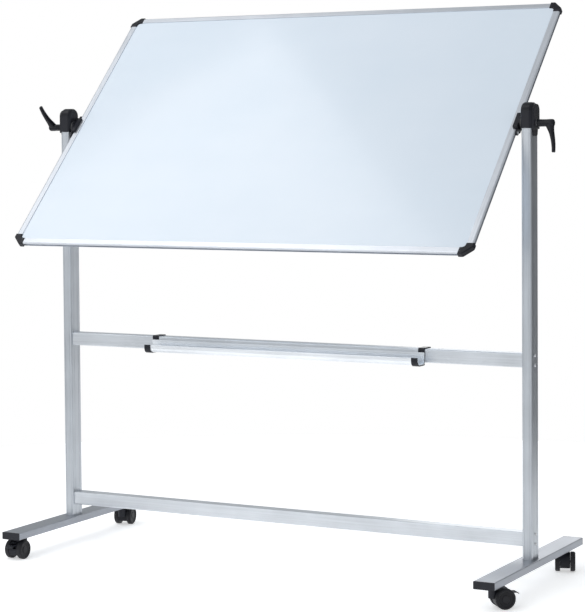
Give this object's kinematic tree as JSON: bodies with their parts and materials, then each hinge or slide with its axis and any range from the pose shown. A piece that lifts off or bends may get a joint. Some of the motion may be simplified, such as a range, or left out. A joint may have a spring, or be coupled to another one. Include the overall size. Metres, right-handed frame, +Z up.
{
  "type": "rolling whiteboard",
  "caption": "Double-sided whiteboard that turns between two posts on a wheeled stand, with clamp levers, a sliding pen tray and braked twin-wheel casters.",
  "frame": {"origin": "on the floor, midway between the two posts, below the board's pivot axis", "axes": "+X along the board's width to the viewer's right, +Y to the back, +Z up; the board is tilted back 45 degrees about X"},
  "size_m": [1.717, 0.7184, 1.6792],
  "materials": {
    "stand_aluminium": "satin anodised",
    "frame_aluminium": "satin anodised",
    "tray_aluminium": "satin anodised",
    "cast_aluminium": "as cast",
    "black_plastic": "fine grain",
    "bracket_black": "satin",
    "lever_black": "fine grain",
    "writing_surface": "gloss white enamel",
    "core": "honeycomb board",
    "washer_plastic": "smooth",
    "zinc_steel": "zinc plated",
    "spring_steel": "oiled",
    "caster_body": "moulded nylon",
    "caster_wheel": "moulded nylon"
  },
  "bodies": {
    "root": {"post_left": "stand_aluminium", "post_right": "stand_aluminium", "foot_left": "stand_aluminium", "foot_right": "stand_aluminium", "foot_end_caps": "black_plastic", "post_base_blocks": "cast_aluminium", "foot_bolts": "zinc_steel", "lower_bar": "stand_aluminium", "cross_bar": "stand_aluminium", "bar_bolts": "zinc_steel", "head_cap_left": "black_plastic", "head_cap_right": "black_plastic", "pivot_bushes": "washer_plastic", "friction_washers": "washer_plastic", "caster_sockets": "zinc_steel", "caster_stems": "zinc_steel"},
    "board": {"board_core": "core", "front_sheet": "writing_surface", "back_sheet": "writing_surface", "frame_top": "frame_aluminium", "frame_bottom": "frame_aluminium", "frame_left": "frame_aluminium", "frame_right": "frame_aluminium", "corner_caps": "black_plastic", "pivot_bracket_left": "bracket_black", "pivot_bracket_right": "bracket_black", "pivot_studs": "zinc_steel", "bracket_screws": "zinc_steel"},
    "tray": {"pen_tray": "tray_aluminium", "tray_clip_left": "black_plastic", "tray_clip_right": "black_plastic"},
    "lever_left": {"lever_insert_left": "zinc_steel", "lever_screw_left": "zinc_steel"},
    "handle_left": {"lever_handle_left": "lever_black", "lever_spring_left": "spring_steel"},
    "lever_right": {"lever_insert_right": "zinc_steel", "lever_screw_right": "zinc_steel"},
    "handle_right": {"lever_handle_right": "lever_black", "lever_spring_right": "spring_steel"},
    "caster_front_left": {"caster_hood_front_left": "caster_body", "caster_axle_front_left": "zinc_steel"},
    "wheel_front_left_a": {"wheel_front_left_a": "caster_wheel"},
    "wheel_front_left_b": {"wheel_front_left_b": "caster_wheel"},
    "pedal_front_left": {"brake_pedal_front_left": "caster_body"},
    "caster_front_right": {"caster_hood_front_right": "caster_body", "caster_axle_front_right": "zinc_steel"},
    "wheel_front_right_a": {"wheel_front_right_a": "caster_wheel"},
    "wheel_front_right_b": {"wheel_front_right_b": "caster_wheel"},
    "pedal_front_right": {"brake_pedal_front_right": "caster_body"},
    "caster_back_left": {"caster_hood_back_left": "caster_body", "caster_axle_back_left": "zinc_steel"},
    "wheel_back_left_a": {"wheel_back_left_a": "caster_wheel"},
    "wheel_back_left_b": {"wheel_back_left_b": "caster_wheel"},
    "caster_back_right": {"caster_hood_back_right": "caster_body", "caster_axle_back_right": "zinc_steel"},
    "wheel_back_right_a": {"wheel_back_right_a": "caster_wheel"},
    "wheel_back_right_b": {"wheel_back_right_b": "caster_wheel"}
  },
  "joints": [
    {"name": "board_tilt", "type": "hinge", "parent": "root", "child": "board", "pos_m": [0, 0, 1.32], "axis": [1, 0, 0], "continuous": true},
    {"name": "tray_slide", "type": "slide", "parent": "root", "child": "tray", "axis": [1, 0, 0], "range_m": [-0.29, 0.29]},
    {"name": "lever_turn_left", "type": "hinge", "parent": "root", "child": "lever_left", "pos_m": [-0.8013, 0, 1.32], "axis": [-1, 0, 0], "range_deg": [-15, 180]},
    {"name": "handle_lift_left", "type": "slide", "parent": "lever_left", "child": "handle_left", "axis": [-1, 0, 0], "range_m": [0, 0.004], "stiffness_N_per_m": 2000, "springref_m": -0.003, "deforming": ["lever_spring_left"]},
    {"name": "lever_turn_right", "type": "hinge", "parent": "root", "child": "lever_right", "pos_m": [0.8013, 0, 1.32], "axis": [1, 0, 0], "range_deg": [-15, 180]},
    {"name": "handle_lift_right", "type": "slide", "parent": "lever_right", "child": "handle_right", "axis": [1, 0, 0], "range_m": [0, 0.004], "stiffness_N_per_m": 2000, "springref_m": -0.003, "deforming": ["lever_spring_right"]},
    {"name": "swivel_front_left", "type": "hinge", "parent": "root", "child": "caster_front_left", "pos_m": [-0.779, -0.28, 0.05], "axis": [0, 0, 1], "continuous": true},
    {"name": "roll_front_left_a", "type": "hinge", "parent": "caster_front_left", "child": "wheel_front_left_a", "pos_m": [-0.779, -0.308, 0.029], "axis": [-1, 0, 0], "continuous": true},
    {"name": "roll_front_left_b", "type": "hinge", "parent": "caster_front_left", "child": "wheel_front_left_b", "pos_m": [-0.779, -0.308, 0.029], "axis": [-1, 0, 0], "continuous": true},
    {"name": "brake_front_left", "type": "hinge", "parent": "caster_front_left", "child": "pedal_front_left", "pos_m": [-0.779, -0.319, 0.041], "axis": [1, 0, 0], "range_deg": [0, 15]},
    {"name": "swivel_front_right", "type": "hinge", "parent": "root", "child": "caster_front_right", "pos_m": [0.779, -0.28, 0.05], "axis": [0, 0, 1], "continuous": true},
    {"name": "roll_front_right_a", "type": "hinge", "parent": "caster_front_right", "child": "wheel_front_right_a", "pos_m": [0.79981, -0.26126, 0.029], "axis": [0.6691, -0.7431, 0], "continuous": true},
    {"name": "roll_front_right_b", "type": "hinge", "parent": "caster_front_right", "child": "wheel_front_right_b", "pos_m": [0.79981, -0.26126, 0.029], "axis": [0.6691, -0.7431, 0], "continuous": true},
    {"name": "brake_front_right", "type": "hinge", "parent": "caster_front_right", "child": "pedal_front_right", "pos_m": [0.80798, -0.2539, 0.041], "axis": [-0.6691, 0.7431, 0], "range_deg": [0, 15]},
    {"name": "swivel_back_left", "type": "hinge", "parent": "root", "child": "caster_back_left", "pos_m": [-0.779, 0.28, 0.05], "axis": [0, 0, 1], "continuous": true},
    {"name": "roll_back_left_a", "type": "hinge", "parent": "caster_back_left", "child": "wheel_back_left_a", "pos_m": [-0.78386, 0.30757, 0.029], "axis": [0.9848, 0.1736, 0], "continuous": true},
    {"name": "roll_back_left_b", "type": "hinge", "parent": "caster_back_left", "child": "wheel_back_left_b", "pos_m": [-0.78386, 0.30757, 0.029], "axis": [0.9848, 0.1736, 0], "continuous": true},
    {"name": "swivel_back_right", "type": "hinge", "parent": "root", "child": "caster_back_right", "pos_m": [0.779, 0.28, 0.05], "axis": [0, 0, 1], "continuous": true},
    {"name": "roll_back_right_a", "type": "hinge", "parent": "caster_back_right", "child": "wheel_back_right_a", "pos_m": [0.78858, 0.25369, 0.029], "axis": [-0.9397, -0.342, 0], "continuous": true},
    {"name": "roll_back_right_b", "type": "hinge", "parent": "caster_back_right", "child": "wheel_back_right_b", "pos_m": [0.78858, 0.25369, 0.029], "axis": [-0.9397, -0.342, 0], "continuous": true}
  ]
}
